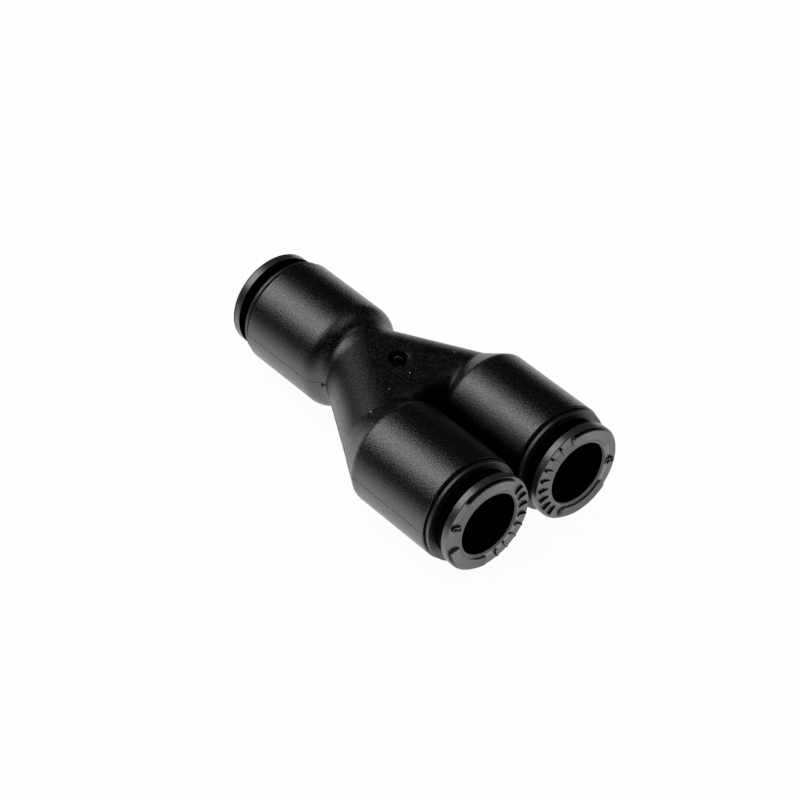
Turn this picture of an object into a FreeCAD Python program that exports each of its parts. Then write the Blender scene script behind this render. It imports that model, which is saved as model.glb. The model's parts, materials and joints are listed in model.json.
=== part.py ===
import FreeCAD, Part
import math
import os

# Equal Y connector for push-in tube: one inlet barrel and two parallel outlet barrels on a yoke.
# +X runs from the inlet to the outlets, +Z is up, and the origin is the bottom centre.
# Every port has the same five pieces, drawn in a port frame of their own: depth runs into
# the port from the button's outermost face, and radius is from the port's axis.

# Radii, built up from the tube to the outside of a barrel
TUBE_D = 8.0
BORE_CLEARANCE = 0.05
SLEEVE_WALL = 0.85
SLEEVE_CLEARANCE = 0.06
BARB_HEIGHT = 0.3
BARB_CLEARANCE = 0.12
SKIRT_WALL = 0.63
BODY_WALL = 0.8
FLANGE_STEP = 0.65
RIDGE_STEP = 0.25
BARREL_MERGE = 0.1

# Depths, built up from the button's face to the tube's stop
PAD_HEIGHT = 0.38
FLANGE_T = 1.3
RELEASE_STROKE = 0.7
STROKE_RESERVE = 0.15
CAP_FRONT = 1.6
CAP_LAND = 2.65
BARB_LENGTH = 0.9
BARB_PLAY = 0.05
SKIRT_LENGTH = 3.55
RING_PLAY = 0.03
SPACER_LENGTH = 2.6
SEAL_LENGTH = 2.4
SEAT_LENGTH = 5.6

# Button details
BUTTON_CHAMFER = 0.12
FLANGE_CHAMFER = 0.08
PAD_INNER_STEP = 0.3
PAD_OUTER_STEP = 0.25
PAD_SPAN = 78.0
PAD_HALF_GAP = 32.0
PAD_CORNER = 0.45
PAD_BEVEL = 0.17
SLOT_COUNT = 4
SLOT_WIDTH = 0.8
SLOT_START = 1.35

# Cap details
RIDGE_WIDTH = 0.42
GROOVE_WIDTH = 0.33
GROOVE_STEP = 0.15
NOSE_WALL = 0.54
CAP_CHAMFER = 0.2

# Gripping ring
RING_T = 0.25
RING_CLEARANCE = 0.05
TOOTH_COUNT = 10
TOOTH_ANGLE = 38.0
TOOTH_BITE = 0.12
TOOTH_ROOT = 1.0
TOOTH_SLOT = 0.7
NOSE_PLAY = 0.1

# Spacer ring and seal
SPACER_WALL = 0.85
SPACER_LIP = 0.8
SPACER_CLEARANCE = 0.04
SEAL_PLAY = 0.05
SEAL_BITE = 0.12
SEAL_SIDE_STEP = 0.45

# Body
LENGTH = 47.9
MOUTH_CHAMFER = 0.12
INLET_STRAIGHT = 10.53
INLET_SHOULDER = 2.45
NECK_BLEND = 0.8
LEG_R = 5.4
LEG_ANGLE = 28.7
LEG_OVERRUN = 1.1
CONE_LEAD = 0.07
CONE_ROUND = 0.8
CONE_DROP = 1.8
CONE_END_ANGLE = 50.0
ELBOW_STEP = 1.0
WEB_OVERRUN = 0.5
WEB_ROUND = 1.5
PASSAGE_D = 6.2
SEAT_CHAMFER = 0.4
GATE_D = 2.4
GATE_DEPTH = 0.3
GATE_STUB_D = 0.9
GATE_STUB_H = 0.2

# Angle of each button in its own port frame, from the port's Y, at the middle of the size mark
BUTTON_TURN = {"inlet": 90.0, "left": 23.0, "right": 189.0}

# Radii
bore_r = TUBE_D / 2 + BORE_CLEARANCE
sleeve_r = bore_r + SLEEVE_WALL
cap_bore_r = sleeve_r + SLEEVE_CLEARANCE
barb_r = sleeve_r + BARB_HEIGHT
relief_r = barb_r + BARB_CLEARANCE
socket_r = relief_r + SKIRT_WALL
barrel_r = socket_r + BODY_WALL
flange_r = barrel_r - FLANGE_STEP
ridge_r = barrel_r - RIDGE_STEP
tip_r = TUBE_D / 2 - TOOTH_BITE
root_r = bore_r + TOOTH_ROOT

# Depths
cap_front = FLANGE_T + RELEASE_STROKE + STROKE_RESERVE
mouth = cap_front + CAP_FRONT
cap_step = cap_front + CAP_LAND
skirt_end = mouth + SKIRT_LENGTH
ring_front = skirt_end + RING_PLAY
spacer_front = ring_front + RING_T + RING_PLAY
spacer_back = spacer_front + SPACER_LENGTH
seat_front = spacer_back + SEAL_LENGTH
tube_stop = seat_front + SEAT_LENGTH

# Yoke: where the legs start, where they reach the outside of the outlet barrels, and the web's end
half_length = LENGTH / 2
outlet_y = barrel_r - BARREL_MERGE / 2
axis_z = barrel_r
slope = math.radians(LEG_ANGLE)
stop_x = half_length - tube_stop
apex_x = stop_x + LEG_OVERRUN - outlet_y / math.tan(slope)
leg_outer_y = outlet_y + barrel_r - LEG_R / math.cos(slope)
shoulder_x = apex_x + leg_outer_y / math.tan(slope) - CONE_LEAD
web_end = stop_x + WEB_OVERRUN

X_AXIS = FreeCAD.Vector(1, 0, 0)
Y_AXIS = FreeCAD.Vector(0, 1, 0)
Z_AXIS = FreeCAD.Vector(0, 0, 1)
ORIGIN = FreeCAD.Vector(0, 0, 0)
TINY = 1e-6


def direction(angle, first, second):
    """Unit vector at an angle from the first axis towards the second."""
    return first * math.cos(math.radians(angle)) + second * math.sin(math.radians(angle))


def revolved(corners):
    """Full turn of a closed (depth, radius) outline about the port's axis."""
    points = [FreeCAD.Vector(depth, radius, 0) for depth, radius in corners]
    return Part.Face(Part.makePolygon([*points, points[0]])).revolve(ORIGIN, X_AXIS, 360)


def port_placement(port):
    """Where a port frame lies: depth runs towards the middle of the body."""
    if port == "inlet":
        return FreeCAD.Placement(FreeCAD.Vector(-half_length, 0, axis_z), FreeCAD.Rotation())
    side = -outlet_y if port == "left" else outlet_y
    return FreeCAD.Placement(FreeCAD.Vector(half_length, side, axis_z), FreeCAD.Rotation(Z_AXIS, 180))


def face_pad(start, end):
    """Raised arc on the button's face, from one angle to the other, with a bevelled top."""
    inner = bore_r + PAD_INNER_STEP
    outer = flange_r - PAD_OUTER_STEP
    ring = revolved([(0, inner), (0, outer), (PAD_HEIGHT, outer), (PAD_HEIGHT, inner)])
    limits = [direction(angle, Y_AXIS, Z_AXIS) * (2 * outer) for angle in (start, (start + end) / 2, end)]
    wedge = Part.Face(Part.makePolygon([ORIGIN, *limits, ORIGIN]))
    pad = ring.common(wedge.extrude(X_AXIS * PAD_HEIGHT))
    uprights = [e for e in pad.Edges if isinstance(e.Curve, Part.Line) and e.BoundBox.XLength > PAD_HEIGHT / 2]
    pad = pad.makeFillet(PAD_CORNER, uprights)
    top = [e for e in pad.Edges if e.BoundBox.XMax < TINY]
    return pad.makeChamfer(PAD_BEVEL, top)


def release_button(turn):
    """Collar with a slotted, barbed sleeve whose nose pushes the teeth apart."""
    tilt = math.tan(math.radians(TOOTH_ANGLE))
    nose_inner = ring_front + (root_r - bore_r) * tilt - NOSE_PLAY
    nose_outer = ring_front + (root_r - sleeve_r) * tilt - NOSE_PLAY
    barb_front = cap_step + BARB_PLAY
    barb_back = barb_front + BARB_LENGTH
    button = revolved([
        (PAD_HEIGHT, bore_r + BUTTON_CHAMFER),
        (PAD_HEIGHT, flange_r - FLANGE_CHAMFER),
        (PAD_HEIGHT + FLANGE_CHAMFER, flange_r),
        (FLANGE_T, flange_r),
        (FLANGE_T, sleeve_r),
        (barb_front, sleeve_r),
        (barb_front, barb_r),
        (barb_back, sleeve_r),
        (nose_outer, sleeve_r),
        (nose_inner, bore_r),
        (PAD_HEIGHT + BUTTON_CHAMFER, bore_r)])
    slot_root = FreeCAD.Vector(cap_front + SLOT_START, 0, 0)
    slot_corner = slot_root - Z_AXIS * (SLOT_WIDTH / 2)
    slot = Part.makeBox(nose_inner, 2 * barb_r, SLOT_WIDTH, slot_corner)
    slot = slot.fuse(Part.makeCylinder(SLOT_WIDTH / 2, 2 * barb_r, slot_root, Y_AXIS))
    for i in range(SLOT_COUNT):
        cutter = slot.copy()
        cutter.rotate(ORIGIN, X_AXIS, (i + 0.5) * 360 / SLOT_COUNT)
        button = button.cut(cutter)
    for side in (-1, 1):
        button = button.fuse(face_pad(side * PAD_HALF_GAP, side * (PAD_HALF_GAP + PAD_SPAN)))
    button = button.removeSplitter()
    button.rotate(ORIGIN, X_AXIS, turn)
    return button


def cap_ring():
    """Ring in the barrel's mouth: it guides the sleeve, stops its barbs and closes the stack."""
    ridge_back = mouth - GROOVE_WIDTH
    ridge_front = ridge_back - RIDGE_WIDTH
    nose_r = cap_bore_r + NOSE_WALL
    groove_r = socket_r + GROOVE_STEP
    return revolved([
        (cap_front, cap_bore_r + CAP_CHAMFER),
        (cap_front, nose_r),
        (ridge_front, nose_r),
        (ridge_front, ridge_r),
        (ridge_back, ridge_r),
        (ridge_back, groove_r),
        (mouth, groove_r),
        (mouth, socket_r),
        (skirt_end, socket_r),
        (skirt_end, relief_r),
        (cap_step, relief_r),
        (cap_step, cap_bore_r),
        (cap_front + CAP_CHAMFER, cap_bore_r)])


def gripping_ring():
    """Thin washer whose inclined teeth let the tube in and hold it."""
    tilt = math.radians(TOOTH_ANGLE)
    tip = ring_front + (root_r - tip_r) * math.tan(tilt)
    axial_t = RING_T / math.cos(tilt)
    back_root_r = root_r - (axial_t - RING_T) / math.tan(tilt)
    ring = revolved([
        (ring_front, socket_r - RING_CLEARANCE),
        (ring_front, root_r),
        (tip, tip_r),
        (tip + axial_t, tip_r),
        (ring_front + RING_T, back_root_r),
        (ring_front + RING_T, socket_r - RING_CLEARANCE)])
    reach = tip + axial_t - ring_front
    start = FreeCAD.Vector(ring_front - reach / 2, 0, 0)
    gap = Part.makeBox(2 * reach, root_r, TOOTH_SLOT, start - Z_AXIS * (TOOTH_SLOT / 2))
    gap = gap.fuse(Part.makeCylinder(TOOTH_SLOT / 2, 2 * reach, start + Y_AXIS * root_r, X_AXIS))
    for i in range(TOOTH_COUNT):
        cutter = gap.copy()
        cutter.rotate(ORIGIN, X_AXIS, i * 360 / TOOTH_COUNT)
        ring = ring.cut(cutter)
    return ring


def spacer_ring():
    """Ring behind the teeth: room for them to bend, and a lip that guides the tube."""
    outer = socket_r - SPACER_CLEARANCE
    lip = spacer_back - SPACER_LIP
    return revolved([
        (spacer_front, outer - SPACER_WALL),
        (spacer_front, outer),
        (spacer_back, outer),
        (spacer_back, bore_r),
        (lip, bore_r),
        (lip, outer - SPACER_WALL)])


def seal_ring():
    """Soft ring with a rounded inner lip, a little smaller than the tube."""
    front = spacer_back + SEAL_PLAY
    back = seat_front - SEAL_PLAY
    lip_r = TUBE_D / 2 - SEAL_BITE
    side_r = lip_r + SEAL_SIDE_STEP
    corners = [FreeCAD.Vector(front, side_r, 0), FreeCAD.Vector(front, socket_r, 0),
               FreeCAD.Vector(back, socket_r, 0), FreeCAD.Vector(back, side_r, 0)]
    edges = [Part.LineSegment(a, b).toShape() for a, b in zip(corners, corners[1:])]
    lip = FreeCAD.Vector((front + back) / 2, lip_r, 0)
    edges.append(Part.Arc(corners[3], lip, corners[0]).toShape())
    return Part.Face(Part.Wire(edges)).revolve(ORIGIN, X_AXIS, 360)


def arc(centre, radius, start, end):
    """Arc in the outline's plane, between two angles in degrees."""
    points = [centre + direction(angle, X_AXIS, Y_AXIS) * radius for angle in (start, (start + end) / 2, end)]
    return Part.Arc(*points).toShape()


def barrel(tail):
    """Solid barrel: chamfered mouth, straight run up to the tail's first edge, then the tail."""
    last = tail[-1].lastVertex(True).Point
    points = [FreeCAD.Vector(last.x, 0, 0), FreeCAD.Vector(mouth, 0, 0),
              FreeCAD.Vector(mouth, barrel_r - MOUTH_CHAMFER, 0),
              FreeCAD.Vector(mouth + MOUTH_CHAMFER, barrel_r, 0), tail[0].firstVertex(True).Point]
    edges = [Part.LineSegment(start, end).toShape() for start, end in zip(points, points[1:])]
    edges += [*tail, Part.LineSegment(last, points[0]).toShape()]
    return Part.Face(Part.Wire(edges)).revolve(ORIGIN, X_AXIS, 360)


def inlet_barrel():
    """Barrel whose rounded shoulder blends into the round neck of the yoke."""
    convex = FreeCAD.Vector(mouth + INLET_STRAIGHT, barrel_r - INLET_SHOULDER, 0)
    rise = LEG_R + NECK_BLEND - convex.y
    run = math.sqrt((INLET_SHOULDER + NECK_BLEND) ** 2 - rise ** 2)
    concave = convex + FreeCAD.Vector(run, rise, 0)
    turn = math.degrees(math.atan2(rise, run))
    neck = FreeCAD.Vector(concave.x, LEG_R, 0)
    at_apex = FreeCAD.Vector(half_length + apex_x, LEG_R, 0)
    return barrel([arc(convex, INLET_SHOULDER, 90, turn), arc(concave, NECK_BLEND, turn + 180, 270),
                   Part.LineSegment(neck, at_apex).toShape()])


def outlet_barrel():
    """Barrel whose conical shoulder runs on in line with the outside of its leg."""
    edge_start = half_length - shoulder_x - CONE_ROUND * math.tan(slope / 2)
    edge = arc(FreeCAD.Vector(edge_start, barrel_r - CONE_ROUND, 0), CONE_ROUND, 90, 90 - LEG_ANGLE)
    cone_start = edge.lastVertex(True).Point
    cone_end_r = barrel_r - CONE_DROP
    cone_run = (cone_start.y - cone_end_r) / math.tan(slope)
    cone_end = FreeCAD.Vector(cone_start.x + cone_run, cone_end_r, 0)
    tip_run = (cone_end_r - bore_r) / math.tan(math.radians(CONE_END_ANGLE))
    tip = FreeCAD.Vector(cone_end.x + tip_run, bore_r, 0)
    return barrel([edge, Part.LineSegment(cone_start, cone_end).toShape(),
                   Part.LineSegment(cone_end, tip).toShape()])


def port_cavity():
    """Stepped hollow of one port: socket for the stack, tube seat and its stop."""
    return revolved([
        (cap_front, 0),
        (cap_front, socket_r),
        (seat_front, socket_r),
        (seat_front, bore_r + SEAT_CHAMFER),
        (seat_front + SEAT_CHAMFER, bore_r),
        (tube_stop, bore_r),
        (tube_stop, 0)])


def rod(radius, start, end):
    """Round bar between two points."""
    return Part.makeCylinder(radius, (end - start).Length, start, end - start)


def leg_end(side, radius, edge_x):
    """Point on a leg's axis at which a bar of this radius ends with its outer edge at edge_x."""
    x = edge_x + radius * math.sin(slope)
    return FreeCAD.Vector(x, side * (x - apex_x) * math.tan(slope), axis_z)


def yoke():
    """Two round legs from the apex into the outlet barrels, and the flat web between them."""
    apex = FreeCAD.Vector(apex_x, 0, axis_z)
    solid = Part.makeSphere(LEG_R, apex)
    for side in (-1, 1):
        solid = solid.fuse(rod(LEG_R, apex, leg_end(side, LEG_R, shoulder_x - ELBOW_STEP)))
    web_half = (web_end - apex_x) * math.tan(slope)
    bottom = axis_z - LEG_R
    corners = [FreeCAD.Vector(apex_x, 0, bottom), FreeCAD.Vector(web_end, -web_half, bottom),
               FreeCAD.Vector(web_end, web_half, bottom)]
    web = Part.Face(Part.makePolygon([*corners, corners[0]])).extrude(Z_AXIS * (2 * LEG_R))
    end_edges = [e for e in web.Edges if e.BoundBox.XMin > web_end - TINY and e.BoundBox.ZLength < TINY]
    return solid.fuse(web.makeFillet(WEB_ROUND, end_edges))


def passages():
    """The air's way from the inlet's tube stop to both outlets' stops."""
    radius = PASSAGE_D / 2
    apex = FreeCAD.Vector(apex_x, 0, axis_z)
    inlet_end = FreeCAD.Vector(-stop_x - radius, 0, axis_z)
    solid = rod(radius, inlet_end, apex).fuse(Part.makeSphere(radius, apex))
    for side in (-1, 1):
        solid = solid.fuse(rod(radius, apex, leg_end(side, radius, stop_x)))
    return solid


def body():
    """The one moulding: three barrels on the yoke, hollowed by the ports and passages."""
    solid = yoke()
    for port in BUTTON_TURN:
        shell = inlet_barrel() if port == "inlet" else outlet_barrel()
        shell.Placement = port_placement(port)
        solid = solid.fuse(shell)
    for port in BUTTON_TURN:
        cavity = port_cavity()
        cavity.Placement = port_placement(port)
        solid = solid.cut(cavity)
    solid = solid.cut(passages())
    top = FreeCAD.Vector(0, 0, axis_z + LEG_R)
    solid = solid.cut(rod(GATE_D / 2, top - Z_AXIS * GATE_DEPTH, top + Z_AXIS))
    stub_top = top - Z_AXIS * (GATE_DEPTH - GATE_STUB_H)
    stub = rod(GATE_STUB_D / 2, top - Z_AXIS * 2 * GATE_DEPTH, stub_top)
    return solid.fuse(stub).removeSplitter()


os.makedirs("parts", exist_ok=True)
nodes = {"body": body()}
for port, turn in BUTTON_TURN.items():
    pieces = {"release_button": release_button(turn), "cap_ring": cap_ring(),
              "gripping_ring": gripping_ring(), "spacer_ring": spacer_ring(), "seal": seal_ring()}
    for name, piece in pieces.items():
        piece.Placement = port_placement(port).multiply(piece.Placement)
        nodes[port + "_" + name] = piece
for name, shape in nodes.items():
    shape.exportStep("parts/" + name + ".step")
    print(name, shape.isValid(), len(shape.Solids), round(shape.Volume, 2))
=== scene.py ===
import json
import math
import random
from collections import namedtuple

import bmesh
import bpy
from mathutils import Matrix, Vector
from mathutils.bvhtree import BVHTree


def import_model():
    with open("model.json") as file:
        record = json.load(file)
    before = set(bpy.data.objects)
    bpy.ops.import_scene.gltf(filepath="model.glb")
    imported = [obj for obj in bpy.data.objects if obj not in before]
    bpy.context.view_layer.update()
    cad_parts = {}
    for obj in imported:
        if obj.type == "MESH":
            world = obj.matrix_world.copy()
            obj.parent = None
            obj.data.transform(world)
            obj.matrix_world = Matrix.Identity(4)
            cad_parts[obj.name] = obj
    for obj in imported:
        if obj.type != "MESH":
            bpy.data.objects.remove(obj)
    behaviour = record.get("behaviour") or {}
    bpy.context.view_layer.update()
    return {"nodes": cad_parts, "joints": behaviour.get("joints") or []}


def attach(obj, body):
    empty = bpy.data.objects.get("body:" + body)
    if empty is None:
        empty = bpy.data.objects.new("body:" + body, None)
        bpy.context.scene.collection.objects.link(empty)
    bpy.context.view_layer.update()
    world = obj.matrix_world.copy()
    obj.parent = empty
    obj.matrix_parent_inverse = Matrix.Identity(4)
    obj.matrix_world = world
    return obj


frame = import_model()

MM = 0.001
NODES = frame["nodes"]
JOINTS = {joint["name"]: joint for joint in frame["joints"]}

# Middle of the right collar's front, in millimetres
HALF_LENGTH, OUTLET_Y, AXIS_Z = (c / MM for c in JOINTS["right_collar_turn"]["pos_m"])

# Sizes that the solids have, in millimetres
LEG_R = 5.4
BARREL_END = 20.1
FACE_DEPTH = 0.38

# Which end of X the port is at, its Y, and its size mark's angle and radius
Port = namedtuple("Port", "side y turn mark_r")
PORTS = {
    "inlet": Port(-1, 0.0, 90, 5.1),
    "left": Port(1, -OUTLET_Y, 23, 5.1),
    "right": Port(1, OUTLET_Y, 189, 4.95),
}

# Where the painted shade on the caps and buttons begins and ends, in millimetres: radii from the port's
# axis
NOSE_EDGE = (5.56, 5.62)
BORE_EDGE = (4.06, 4.09)
PAD_WALL = (5.78, 5.82)

# Depths behind the collar's front, the deeper one first: where the painted shade behind the flange and on
# the pads' outer walls ends, and where the pads' sloping tops begin
FLANGE_BACK = (1.295, 1.26)
PAD_FOOT = (0.377, 0.372)
PAD_TOP = (0.012, 0.006)

# The yoke's slot and top, which carry painted shade, its coarser grain, and the round recess of the gate,
# which is painted black as shade
SHADED_SLOT_HALF_WIDTH = (0.7, 3.2)
SHADED_SLOT_START = (4.4, 6.2)
TOP_SHADE_LENGTH = (5.5, 7.0)
TOP_SHADE_HEIGHT = (8.8, 10.3)
TOP_SHADE_SHARE = 0.35
SPECKLE_END = (7.5, 11.0)
SPECKLE_SCALE = 3100
SPECKLE_CONTRAST = (0.47, 0.63)
ROUGH_LENGTH = (5.5, 10.0)
ROUGHER = 0.07
GATE = Vector((-0.25, 0.15, AXIS_Z + LEG_R))
GATE_SHADE_EDGE = (1.15, 1.25)

# Softness of edges, and the slope of the pads' tops towards the bore
YOKE_CREASE = 0.8
MOUTH_EDGE = 0.05
CREASE_END = (11.0, 13.0)
CAP_EDGE = 0.13
PAD_SLOPE = 0.35

# Most of what a noise node gives, and its roughness
NOISE_SPAN = (0.3, 0.7)
NOISE_ROUGHNESS = 0.6

# Painted shade, where hardly any light comes
BLACK = 0.0005
BLACK_SPECULAR = 0.02

# Marks on the collar's face, as depths and radii
MARK_SUNK = FACE_DEPTH + 0.03
MARK_TOP = 0.08
MARK_BEVEL = 0.04
DIGIT_STROKE = 0.17
DIGIT_LOOPS = ((-0.29, 0.34), (0.34, 0.29))
LOOP_STEPS = 28
RIB_COUNT = 8
RIB_STEP = 15
RIB_FROM = 4.55
RIB_TO = 5.75
RIB_WIDTH = 0.3

# The lip round each bore, and the inlet's rim outside its pads
RING_STEPS = 128
LIP_DEPTH = 0.1
LIP_R = 4.1
LIP_END_R = 5.1
LIP_SUNK = FACE_DEPTH + 0.05
RIM_DEPTH = 0.2
RIM_FROM = 5.75
RIM_TO = 6.1
RIM_BEVEL = 0.04
RIM_SUNK = 0.5

# The parting ridge
RIDGE_STEPS = 200
RIDGE_HEIGHT = 0.02
RIDGE_WAVE = 0.012
RIDGE_RIPPLES = (0.9, 0.37)
RIDGE_HALF_WIDTH = 0.06
RIDGE_SUNK = 0.03

# The torn gate, as radii and heights of its rings
SCAR_RINGS = ((0.5, 0.0), (0.4, 0.1), (0.26, 0.19), (0.12, 0.16))
SCAR_RADIUS_RANGE = (0.75, 1.2)
SCAR_HEIGHT_RANGE = (0.5, 1.35)
SCAR_STEPS = 18
SCAR_SUNK = 0.31

# The pip beside the neck
PIP_PLACE = (-7.45, -5.45, AXIS_Z - 0.35)
PIP_R = 0.3
PIP_SHAPE = (1.1, 0.6, 0.9, 1)
TEAR_R = 0.17
TEAR_PLACE = (0.16, -0.12, -0.1)
TEAR_SHAPE = (0.45, 0.6, 1.5, 1)
TEAR_TILT = 0.6

# Dust specks, as a place with its height above the barrels' axes, and a radius
SPECKS = (
    ((3.49, -4.31, 5.4), 0.07), ((2.83, -0.61, 5.4), 0.08),
    ((4.88, -8.13, 4.93), 0.09), ((7.09, -9.81, 5.51), 0.06),
    ((3.1, 5.86, 5.29), 0.07), ((6.09, 6.02, 5.73), 0.07),
    ((9.33, 6.83, 6.68), 0.06), ((12.06, -13.15, 1.78), 0.07),
)
SPECK_SHAPE = (1.3, 0.8, 0.7, 1)

# The floor, in metres: its reflection is full near the part and fades beyond that distance
FLOOR_HALF = 3.0
FLOOR_WHITE = 0.96
FADE_START = 0.022
FADE_POWER = 1.2
FADE_ALONG_X = -0.3
FADE_LEFT = -0.9
FADE_RIGHT = 0.35

# The world's light on matt surfaces, and in reflections
WORLD_DIFFUSE = 0.6
WORLD_GLOSS = 0.004

# The camera: its lens in millimetres, its angles in degrees, and its place in millimetres
CAMERA_LENS = 131.78
CAMERA_AZIMUTH = 50.10
CAMERA_ELEVATION = 40.11
CAMERA_DISTANCE = 343.05
CAMERA_TARGET = Vector((0.43, -0.10, 6.22))


# Shader helpers
def grey(level):
    return (level, level, level)


def shader(name):
    """New material with only its surface shader; returns (material, node tree, shader)."""
    mat = bpy.data.materials.new(name)
    mat.use_nodes = True
    tree = mat.node_tree
    return mat, tree, tree.nodes["Principled BSDF"]


def place(tree):
    return tree.nodes.new("ShaderNodeTexCoord").outputs["Object"]


def split_place(tree):
    """A point's X, Y and Z, in metres."""
    apart = tree.nodes.new("ShaderNodeSeparateXYZ")
    tree.links.new(place(tree), apart.inputs[0])
    return apart.outputs


def noise(tree, scale, detail):
    node = tree.nodes.new("ShaderNodeTexNoise")
    node.inputs["Scale"].default_value = scale
    node.inputs["Detail"].default_value = detail
    node.inputs["Roughness"].default_value = NOISE_ROUGHNESS
    tree.links.new(place(tree), node.inputs["Vector"])
    return node.outputs["Fac"]


def spread(tree, source, span, a=0.0, b=1.0):
    """Number a to b while the source crosses the span."""
    low, high = span
    node = tree.nodes.new("ShaderNodeMapRange")
    for key, value in (("From Min", low), ("From Max", high), ("To Min", a), ("To Max", b)):
        node.inputs[key].default_value = value
    tree.links.new(source, node.inputs["Value"])
    return node.outputs["Result"]


def spread_mm(tree, source, span, a=0.0, b=1.0):
    """Number a to b while the source crosses the span, which is in millimetres."""
    low, high = span
    return spread(tree, source, (low * MM, high * MM), a, b)


def mix_colour(tree, factor, a, b):
    """Colour a where the factor is 0 and b where it is 1; each is a socket or a colour."""
    node = tree.nodes.new("ShaderNodeMix")
    node.data_type = "RGBA"
    for key, value in (("A", a), ("B", b)):
        if isinstance(value, tuple):
            node.inputs[key].default_value = (*value, 1)
        else:
            tree.links.new(value, node.inputs[key])
    tree.links.new(factor, node.inputs["Factor"])
    return node.outputs["Result"]


def ramp(tree, source, span, a, b):
    """Colour a to b while the source crosses the span."""
    return mix_colour(tree, spread(tree, source, span), a, b)


def math_node(tree, operation, a, b=0.0, c=0.0):
    """Math node of sockets and numbers."""
    node = tree.nodes.new("ShaderNodeMath")
    node.operation = operation
    for socket, value in zip(node.inputs, (a, b, c)):
        if isinstance(value, float):
            socket.default_value = value
        else:
            tree.links.new(value, socket)
    return node.outputs[0]


def product(tree, a, b):
    return math_node(tree, "MULTIPLY", a, b)


def rest_of(tree, share):
    return math_node(tree, "SUBTRACT", 1.0, share)


def size_of(tree, number):
    return math_node(tree, "ABSOLUTE", number)


def bump(tree, height, distance, normal=None):
    """Bump node whose height of 1 stands for that distance, in metres."""
    node = tree.nodes.new("ShaderNodeBump")
    node.inputs["Distance"].default_value = distance
    tree.links.new(height, node.inputs["Height"])
    if normal:
        tree.links.new(normal, node.inputs["Normal"])
    return node


def bevel(tree, radius):
    """Bevel node that makes edges as soft as that radius, in millimetres."""
    node = tree.nodes.new("ShaderNodeBevel")
    node.samples = 8
    node.inputs["Radius"].default_value = radius * MM
    return node


def port_place(tree):
    """Where a point is in its own port: its radius from the port's axis and its |X|."""
    x, y, z = split_place(tree)
    outlet = math_node(tree, "GREATER_THAN", x, 0.0)
    across = math_node(tree, "MULTIPLY_ADD", outlet, -OUTLET_Y * MM, size_of(tree, y))
    joined = tree.nodes.new("ShaderNodeCombineXYZ")
    tree.links.new(across, joined.inputs[0])
    tree.links.new(math_node(tree, "SUBTRACT", z, AXIS_Z * MM), joined.inputs[1])
    length = tree.nodes.new("ShaderNodeVectorMath")
    length.operation = "LENGTH"
    tree.links.new(joined.outputs[0], length.inputs[0])
    return length.outputs["Value"], size_of(tree, x)


def in_front_of(tree, along, depths):
    """0 to 1 while a point's |X| comes forward between two depths behind the collar's front."""
    deep, shallow = depths
    return spread_mm(tree, along, (HALF_LENGTH - deep, HALF_LENGTH - shallow))


# Painted shade: where the plastics are lit, from 0 to 1; where this is 0 they are painted black as shade
def cap_lit(tree):
    """0 on the nose and in the bore, which are painted black as the collar's shade, and 1 on the ridge.
    """
    radius, _ = port_place(tree)
    return spread_mm(tree, radius, NOSE_EDGE)


def button_lit(tree):
    """0 in the bore, behind the flange and on the pads' outer walls, which are painted black as shade,
    and 1 elsewhere.
    """
    radius, along = port_place(tree)
    outside = product(tree, spread_mm(tree, radius, BORE_EDGE), in_front_of(tree, along, FLANGE_BACK))
    hidden = product(tree, spread_mm(tree, radius, PAD_WALL), in_front_of(tree, along, PAD_FOOT))
    return product(tree, outside, rest_of(tree, hidden))


def body_lit(tree):
    """0 in the slot between the outlets and in the gate's recess, which are painted black as shade, and
    less than 1 on the yoke's top, which is painted darker and less glossy as shade.
    """
    x, y, z = split_place(tree)
    near = spread_mm(tree, size_of(tree, y), SHADED_SLOT_HALF_WIDTH, 1, 0)
    slot = product(tree, near, spread_mm(tree, x, SHADED_SLOT_START))
    # Painted shade: the yoke's top is made darker and less glossy
    middle = spread_mm(tree, size_of(tree, x), TOP_SHADE_LENGTH, TOP_SHADE_SHARE, 0)
    dull = product(tree, middle, spread_mm(tree, z, TOP_SHADE_HEIGHT))
    from_gate = tree.nodes.new("ShaderNodeVectorMath")
    from_gate.operation = "DISTANCE"
    tree.links.new(place(tree), from_gate.inputs[0])
    from_gate.inputs[1].default_value = GATE * MM
    outside = spread_mm(tree, from_gate.outputs["Value"], GATE_SHADE_EDGE)
    return product(tree, product(tree, rest_of(tree, slot), rest_of(tree, dull)), outside)


# The body's, caps' and buttons' own touches
def yoke_speckle(tree, colour):
    """The barrels' colour, and on the yoke a coarser and lighter speckle."""
    _, along = port_place(tree)
    coarse = noise(tree, SPECKLE_SCALE, 2)
    speckle = ramp(tree, coarse, SPECKLE_CONTRAST, grey(0.0003), grey(0.018))
    return mix_colour(tree, spread_mm(tree, along, SPECKLE_END, 1, 0), colour, speckle)


def yoke_roughness(tree, gloss):
    """The barrels' roughness, and on the yoke a little more."""
    _, along = port_place(tree)
    return math_node(tree, "ADD", gloss, spread_mm(tree, along, ROUGH_LENGTH, ROUGHER, 0))


def body_normal(tree):
    """Soft creases at the yoke, and crisp edges at the barrels' ends."""
    node = bevel(tree, YOKE_CREASE)
    _, along = port_place(tree)
    radius = spread_mm(tree, along, CREASE_END, YOKE_CREASE * MM, MOUTH_EDGE * MM)
    tree.links.new(radius, node.inputs["Radius"])
    return node.outputs["Normal"]


def cap_normal(tree):
    return bevel(tree, CAP_EDGE).outputs["Normal"]


def pad_normal(tree):
    """Tops of the pads that slope a little towards the bore."""
    radius, along = port_place(tree)
    height = product(tree, radius, in_front_of(tree, along, PAD_TOP))
    return bump(tree, height, PAD_SLOPE).outputs["Normal"]


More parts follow.
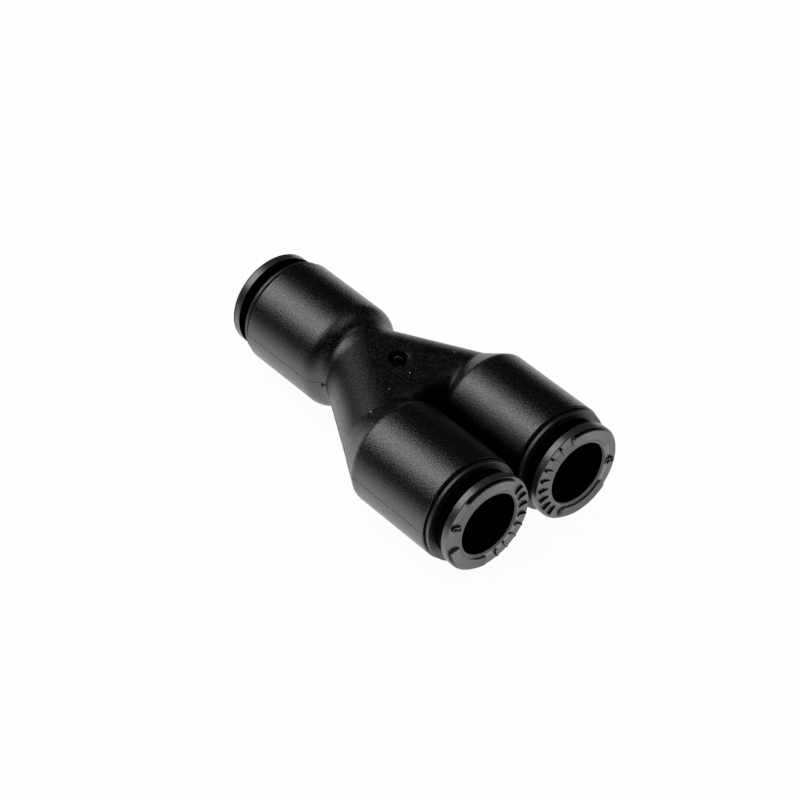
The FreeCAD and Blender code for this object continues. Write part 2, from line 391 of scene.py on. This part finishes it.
# Materials
def plastic(name, dark, light, rough, grain, grain_height, specular, ior=1.5, cloud=900,
            gloss_patch=0.05, speckled=False, lit=None, tint=None, dull=None, normal=None):
    """Moulded plastic: a cloudy or speckled colour, patchy gloss, and a fine grain whose height
    is in millimetres. lit, tint, dull and normal are functions that give or change a socket;
    where lit gives 0, the surface is painted black as shade and nearly without gloss."""
    mat, tree, bsdf = shader(name)
    fine = noise(tree, grain, 2)
    colour = ramp(tree, fine if speckled else noise(tree, cloud, 3), NOISE_SPAN, dark, light)
    if tint:
        colour = tint(tree, colour)
    bsdf.inputs["IOR"].default_value = ior
    bsdf.inputs["Specular IOR Level"].default_value = specular
    if lit:
        share = lit(tree)
        colour = mix_colour(tree, share, grey(BLACK), colour)
        level = spread(tree, share, (0, 1), BLACK_SPECULAR, specular)
        tree.links.new(level, bsdf.inputs["Specular IOR Level"])
    tree.links.new(colour, bsdf.inputs["Base Color"])
    gloss = spread(tree, fine, NOISE_SPAN, rough - gloss_patch, rough + gloss_patch)
    if dull:
        gloss = dull(tree, gloss)
    tree.links.new(gloss, bsdf.inputs["Roughness"])
    under = normal(tree) if normal else None
    grained = bump(tree, fine, grain_height * MM, under)
    tree.links.new(grained.outputs["Normal"], bsdf.inputs["Normal"])
    return mat


def steel():
    """Stamped spring steel with a fine, uneven polish."""
    mat, tree, bsdf = shader("steel_ring")
    bsdf.inputs["Metallic"].default_value = 1
    cloudy = noise(tree, 2500, 3)
    colour = ramp(tree, cloudy, NOISE_SPAN, (0.3, 0.29, 0.28), (0.4, 0.39, 0.38))
    tree.links.new(colour, bsdf.inputs["Base Color"])
    fine = noise(tree, 12000, 2)
    tree.links.new(spread(tree, fine, NOISE_SPAN, 0.25, 0.4), bsdf.inputs["Roughness"])
    polish = bump(tree, fine, 0.003 * MM)
    polish.inputs["Strength"].default_value = 0.6
    tree.links.new(polish.outputs["Normal"], bsdf.inputs["Normal"])
    return mat


# The lit masks paint shade: black in the yoke's slot, the gate's recess, the caps' noses and the buttons'
# bores, and darker on the yoke's top
body_mat = plastic(
    "nylon_body", grey(0.0002), (0.0055, 0.0055, 0.0058), rough=0.27, grain=6500, grain_height=0.04,
    specular=1.0, ior=1.62, gloss_patch=0.11, speckled=True, lit=body_lit, tint=yoke_speckle,
    dull=yoke_roughness, normal=body_normal)
cap_mat = plastic(
    "nylon_cap", grey(0.004), grey(0.008), rough=0.42, grain=5000, grain_height=0.006,
    specular=1.0, ior=1.58, lit=cap_lit, normal=cap_normal)
button_mat = plastic(
    "acetal_button", grey(0.012), grey(0.03), rough=0.3, grain=6000, grain_height=0.01,
    specular=1.0, ior=1.68, lit=button_lit, normal=pad_normal)
# Painted shade: the sides and bevels of the marks on the collars are darker and duller than the faces
mark_side_shade_mat = plastic(
    "acetal_mark_sides_painted_shade", grey(0.002), grey(0.004), rough=0.5, grain=6000, grain_height=0.01, specular=0.2)
# Painted highlight: the inner wall of the lip round each bore is lighter
entry_highlight_mat = plastic(
    "acetal_entry_painted_highlight", grey(0.24), grey(0.34), rough=0.4, grain=6000, grain_height=0.01, specular=0.5)
seam_mat = plastic(
    "nylon_seam", grey(0.001), grey(0.004), rough=0.55, grain=6500, grain_height=0.01, specular=0.15)
# Painted shade: the spacer ring deep in the bore is near black, in place of its own white acetal
spacer_shade_mat = plastic(
    "acetal_spacer_painted_shade", grey(0.004), grey(0.008), rough=0.4, grain=5000, grain_height=0.004, specular=0.5)
seal_mat = plastic(
    "rubber_seal", grey(0.004), grey(0.008), rough=0.5, grain=4000, grain_height=0.006, specular=0.5)
torn_mat = plastic(
    "nylon_torn", grey(0.004), grey(0.2), rough=0.5, grain=9000, grain_height=0.02, specular=0.5,
    cloud=3200)
dust_mat = plastic(
    "dust", grey(0.5), grey(0.7), rough=0.8, grain=9000, grain_height=0.01, specular=0.3)
steel_mat = steel()


def dress(node, mat):
    """The CAD piece takes the material in its own slot."""
    data = NODES[node].data
    data.materials.clear()
    data.materials.append(mat)


dress("body", body_mat)
for port in PORTS:
    dress(port + "_cap_ring", cap_mat)
    dress(port + "_release_button", button_mat)
    dress(port + "_gripping_ring", steel_mat)
    dress(port + "_spacer_ring", spacer_shade_mat)
    dress(port + "_seal", seal_mat)


# Mesh helpers, all in millimetres until new_piece
def new_piece(name, bm, mat, body, side_mat=None):
    """Object of a bmesh drawn in the row frame, in millimetres, that rides on a body."""
    bmesh.ops.scale(bm, vec=(MM, MM, MM), verts=bm.verts)
    bmesh.ops.recalc_face_normals(bm, faces=bm.faces)
    data = bpy.data.meshes.new(name)
    bm.to_mesh(data)
    bm.free()
    for used in (mat, side_mat):
        if used:
            data.materials.append(used)
    obj = bpy.data.objects.new(name, data)
    bpy.context.scene.collection.objects.link(obj)
    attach(obj, body)


def band(bm, first, second, index=0):
    """Faces between two closed rings of vertices, in that material slot."""
    count = len(first)
    faces = []
    for i in range(count):
        j = (i + 1) % count
        faces.append(bm.faces.new((first[i], first[j], second[j], second[i])))
        faces[-1].material_index = index
    return faces


def close_ends(bm, rings):
    bm.faces.new(rings[0])
    bm.faces.new(rings[-1])


def port_point(turn, depth, radius, across=0.0):
    """Point in a port's frame: along the radius at that angle, in degrees, and across it."""
    a = math.radians(turn)
    y = radius * math.cos(a) - across * math.sin(a)
    z = radius * math.sin(a) + across * math.cos(a)
    return Vector((depth, y, z))


def move_to_port(bm, port):
    """From the port's frame, whose X runs into the port, to the row's."""
    turned = Matrix.Identity(4) if port.side < 0 else Matrix.Rotation(math.pi, 4, "Z")
    bm.transform(Matrix.Translation((port.side * HALF_LENGTH, port.y, AXIS_Z)) @ turned)


# Pieces on the collars
def rib(bm, turn):
    """Short raised bar along the radius, with a bevelled top; its sides and bevels are painted dark as
    shade.
    """
    rings = []
    for depth, inset in ((MARK_SUNK, 0), (MARK_TOP + MARK_BEVEL, 0), (MARK_TOP, MARK_BEVEL)):
        half = RIB_WIDTH / 2 - inset
        inner, outer = RIB_FROM + inset, RIB_TO - inset
        corners = ((inner, -half), (outer, -half), (outer, half), (inner, half))
        rings.append([bm.verts.new(port_point(turn, depth, r, across)) for r, across in corners])
    for first, second in zip(rings, rings[1:]):
        band(bm, first, second, 1)
    close_ends(bm, rings)


def digit_loop(bm, turn, centre, radius):
    """Raised round stroke, half of the digit 8, whose sides and bevels are painted dark as shade."""
    half = DIGIT_STROKE / 2
    shoulder = MARK_TOP + MARK_BEVEL
    outside = ((MARK_SUNK, half), (shoulder, half), (MARK_TOP, half - MARK_BEVEL))
    inside = [(depth, -offset) for depth, offset in reversed(outside)]
    rings = []
    for depth, offset in (*outside, *inside):
        ring = []
        for i in range(LOOP_STEPS):
            a = 2 * math.pi * i / LOOP_STEPS
            r = radius + offset
            ring.append(bm.verts.new(port_point(turn, depth, centre + r * math.cos(a), r * math.sin(a))))
        rings.append(ring)
    top = len(outside) - 1
    for i, ring in enumerate(rings):
        band(bm, ring, rings[(i + 1) % len(rings)], 0 if i == top else 1)


def collar_marks(name, port):
    """The tube's size in millimetres on one side of the collar's face, and plain ribs on the other."""
    bm = bmesh.new()
    for offset, radius in DIGIT_LOOPS:
        digit_loop(bm, port.turn, port.mark_r + offset, radius)
    for i in range(RIB_COUNT):
        rib(bm, port.turn + 180 + RIB_STEP * (i - (RIB_COUNT - 1) / 2))
    move_to_port(bm, port)
    new_piece(name + "_collar_marks", bm, button_mat, name + "_button", mark_side_shade_mat)


def solid_ring(bm, profile, last_index=0):
    """Ring of that section, as (depth, radius) points; its last side is in that material slot."""
    rings = []
    for depth, radius in profile:
        turns = (360 * i / RING_STEPS for i in range(RING_STEPS))
        rings.append([bm.verts.new(port_point(turn, depth, radius)) for turn in turns])
    for first, second in zip(rings, rings[1:] + rings[:1]):
        for face in band(bm, first, second, last_index if first is rings[-1] else 0):
            face.smooth = True
        for i in range(RING_STEPS):
            bm.edges.get((first[i], first[(i + 1) % RING_STEPS])).smooth = False


def collar_lip(name, port):
    """Raised lip round the bore, whose inner wall is painted lighter as a highlight, and on the inlet a
    rim outside the pads.
    """
    bm = bmesh.new()
    lip = ((LIP_DEPTH, LIP_R), (FACE_DEPTH, LIP_END_R), (LIP_SUNK, LIP_END_R), (LIP_SUNK, LIP_R))
    solid_ring(bm, lip, 1)
    if name == "inlet":
        front = ((RIM_DEPTH, RIM_FROM), (RIM_DEPTH, RIM_TO - RIM_BEVEL), (RIM_DEPTH + RIM_BEVEL, RIM_TO))
        solid_ring(bm, (*front, (RIM_SUNK, RIM_TO), (RIM_SUNK, RIM_FROM)))
    move_to_port(bm, port)
    new_piece(name + "_collar_lip", bm, button_mat, name + "_button", entry_highlight_mat)


for name, port in PORTS.items():
    collar_marks(name, port)
    collar_lip(name, port)


# Pieces on the body
def outer_line(side):
    """Outside of the body at mid height, from the inlet's mouth to an outlet's."""
    data = NODES["body"].data
    tree = BVHTree.FromPolygons([v.co for v in data.vertices], [p.vertices for p in data.polygons])
    far = 30
    points = []
    for i in range(RIDGE_STEPS + 1):
        x = BARREL_END * (2 * i / RIDGE_STEPS - 1)
        start = Vector((x, side * far, AXIS_Z)) * MM
        points.append(tree.ray_cast(start, Vector((0, -side, 0)))[0] / MM)
    return points


def parting_ridge(side, name):
    """Fine ridge that the mould's two halves leave round the body."""
    points = outer_line(side)
    up = Vector((0, 0, RIDGE_HALF_WIDTH))
    short, long = RIDGE_RIPPLES
    bm = bmesh.new()
    rings = []
    for i, point in enumerate(points):
        after, before = points[min(i + 1, len(points) - 1)], points[max(i - 1, 0)]
        along = (after - before).normalized()
        out = Vector((-side * along.y, side * along.x, 0))
        height = RIDGE_HEIGHT + RIDGE_WAVE * math.sin(i * short) * math.sin(i * long)
        foot = point - out * RIDGE_SUNK
        rings.append([bm.verts.new(p) for p in (point + out * height, foot + up, foot - up)])
    for first, second in zip(rings, rings[1:]):
        band(bm, first, second)
    close_ends(bm, rings)
    new_piece(name, bm, seam_mat, "fitting")


def gate_scar():
    """Torn end of the runner in the round recess on the yoke."""
    pick = random.Random(8)
    bm = bmesh.new()
    centre = GATE - Vector((0, 0, SCAR_SUNK))
    rings = []
    for radius, height in SCAR_RINGS:
        ring = []
        for i in range(SCAR_STEPS):
            a = 2 * math.pi * i / SCAR_STEPS
            r = radius * pick.uniform(*SCAR_RADIUS_RANGE)
            z = height * pick.uniform(*SCAR_HEIGHT_RANGE)
            ring.append(bm.verts.new(centre + Vector((r * math.cos(a), r * math.sin(a), z))))
        rings.append(ring)
    for first, second in zip(rings, rings[1:]):
        band(bm, first, second)
    close_ends(bm, rings)
    new_piece("gate_scar", bm, torn_mat, "fitting")


def pip():
    """Small pip with a torn side, at the parting line beside the neck."""
    bm = bmesh.new()
    at = Matrix.Translation(PIP_PLACE)
    bmesh.ops.create_icosphere(bm, subdivisions=3, radius=PIP_R, matrix=at @ Matrix.Diagonal(PIP_SHAPE))
    for face in bm.faces:
        face.smooth = True
    tilt = Matrix.Rotation(TEAR_TILT, 4, "Y")
    tear = at @ Matrix.Translation(TEAR_PLACE) @ tilt @ Matrix.Diagonal(TEAR_SHAPE)
    made = bmesh.ops.create_icosphere(bm, subdivisions=2, radius=TEAR_R, matrix=tear)
    for vert in made["verts"]:
        for face in vert.link_faces:
            face.material_index = 1
    new_piece("parting_pip", bm, body_mat, "fitting", seam_mat)


def dust():
    """The few white specks on the moulding."""
    bm = bmesh.new()
    for (x, y, z), radius in SPECKS:
        at = Matrix.Translation((x, y, AXIS_Z + z)) @ Matrix.Diagonal(SPECK_SHAPE)
        bmesh.ops.create_icosphere(bm, subdivisions=1, radius=radius, matrix=at)
    new_piece("dust_specks", bm, dust_mat, "fitting")


parting_ridge(-1, "parting_ridge_left")
parting_ridge(1, "parting_ridge_right")
gate_scar()
pip()
dust()


# Floor, light and camera
def floor_fade(tree):
    """How much weaker the floor is in reflections, from 0 near the part to 1 far from it."""
    x, y, _ = split_place(tree)
    left = math_node(tree, "MULTIPLY_ADD", x, FADE_ALONG_X, math_node(tree, "MULTIPLY", y, FADE_LEFT))
    right = math_node(tree, "MULTIPLY", y, FADE_RIGHT)
    away = math_node(tree, "MAXIMUM", math_node(tree, "MAXIMUM", left, right), FADE_START)
    reach = math_node(tree, "POWER", math_node(tree, "DIVIDE", FADE_START, away), FADE_POWER)
    return rest_of(tree, reach)


def floor():
    """Pale paper that is white to the camera and in reflections, and keeps a soft shadow."""
    data = bpy.data.meshes.new("floor")
    h = FLOOR_HALF
    data.from_pydata([(-h, -h, 0), (h, -h, 0), (h, h, 0), (-h, h, 0)], [], [(0, 1, 2, 3)])
    obj = bpy.data.objects.new("floor", data)
    bpy.context.scene.collection.objects.link(obj)
    mat, tree, bsdf = shader("floor_paper")
    paper = ramp(tree, noise(tree, 400, 2), (0.2, 0.8), grey(0.88), grey(0.92))
    tree.links.new(paper, bsdf.inputs["Base Color"])
    bsdf.inputs["Roughness"].default_value = 0.9
    bsdf.inputs["Specular IOR Level"].default_value = 0.0
    path = tree.nodes.new("ShaderNodeLightPath").outputs
    seen = math_node(tree, "MAXIMUM", path["Is Camera Ray"], path["Is Glossy Ray"])
    also = math_node(tree, "MAXIMUM", seen, path["Is Transmission Ray"])
    white = tree.nodes.new("ShaderNodeEmission")
    dimmed = product(tree, path["Is Glossy Ray"], floor_fade(tree))
    tree.links.new(rest_of(tree, dimmed), white.inputs["Strength"])
    mix = tree.nodes.new("ShaderNodeMixShader")
    tree.links.new(product(tree, also, FLOOR_WHITE), mix.inputs["Fac"])
    tree.links.new(bsdf.outputs[0], mix.inputs[1])
    tree.links.new(white.outputs[0], mix.inputs[2])
    tree.links.new(mix.outputs[0], tree.nodes["Material Output"].inputs["Surface"])
    data.materials.append(mat)


def world():
    """White to the camera, a plain fill on matt surfaces, and nearly black in reflections."""
    made = bpy.data.worlds.new("studio")
    bpy.context.scene.world = made
    made.use_nodes = True
    tree = made.node_tree
    back = tree.nodes["Background"]
    back.inputs["Color"].default_value = (1, 1, 1, 1)
    path = tree.nodes.new("ShaderNodeLightPath").outputs
    fill = math_node(tree, "MULTIPLY_ADD", path["Is Diffuse Ray"], WORLD_DIFFUSE, WORLD_GLOSS)
    tree.links.new(math_node(tree, "MAXIMUM", path["Is Camera Ray"], fill), back.inputs["Strength"])


def softbox(name, towards, distance, width, height, level):
    """Area light whose face has that brightness, seen from the part in that direction."""
    data = bpy.data.lights.new(name, "AREA")
    data.shape = "RECTANGLE"
    data.size = width
    data.size_y = height
    data.energy = level * math.pi * width * height
    obj = bpy.data.objects.new(name, data)
    way = Vector(towards).normalized()
    obj.location = Vector((0, 0, AXIS_Z * MM)) + way * distance
    obj.rotation_euler = way.to_track_quat("Z", "Y").to_euler()
    bpy.context.scene.collection.objects.link(obj)


def camera():
    """Camera at the photograph's viewing angle."""
    data = bpy.data.cameras.new("camera")
    data.sensor_width = 36
    data.lens = CAMERA_LENS
    data.clip_start = 0.01
    data.clip_end = 20
    obj = bpy.data.objects.new("camera", data)
    turn, rise = math.radians(CAMERA_AZIMUTH), math.radians(CAMERA_ELEVATION)
    level = Vector((math.sin(turn), -math.cos(turn), 0)) * math.cos(rise)
    back = level + Vector((0, 0, math.sin(rise)))
    obj.location = (CAMERA_TARGET + back * CAMERA_DISTANCE) * MM
    obj.rotation_euler = back.to_track_quat("Z", "Y").to_euler()
    bpy.context.scene.collection.objects.link(obj)
    bpy.context.scene.camera = obj


floor()
world()
softbox("key", (-0.587, -0.363, 0.723), distance=0.5, width=0.30, height=0.34, level=2.1)
softbox("top", (0.25, 0.1, 1), distance=0.9, width=0.4, height=0.4, level=0.85)
camera()
bpy.context.scene.view_settings.view_transform = "Standard"
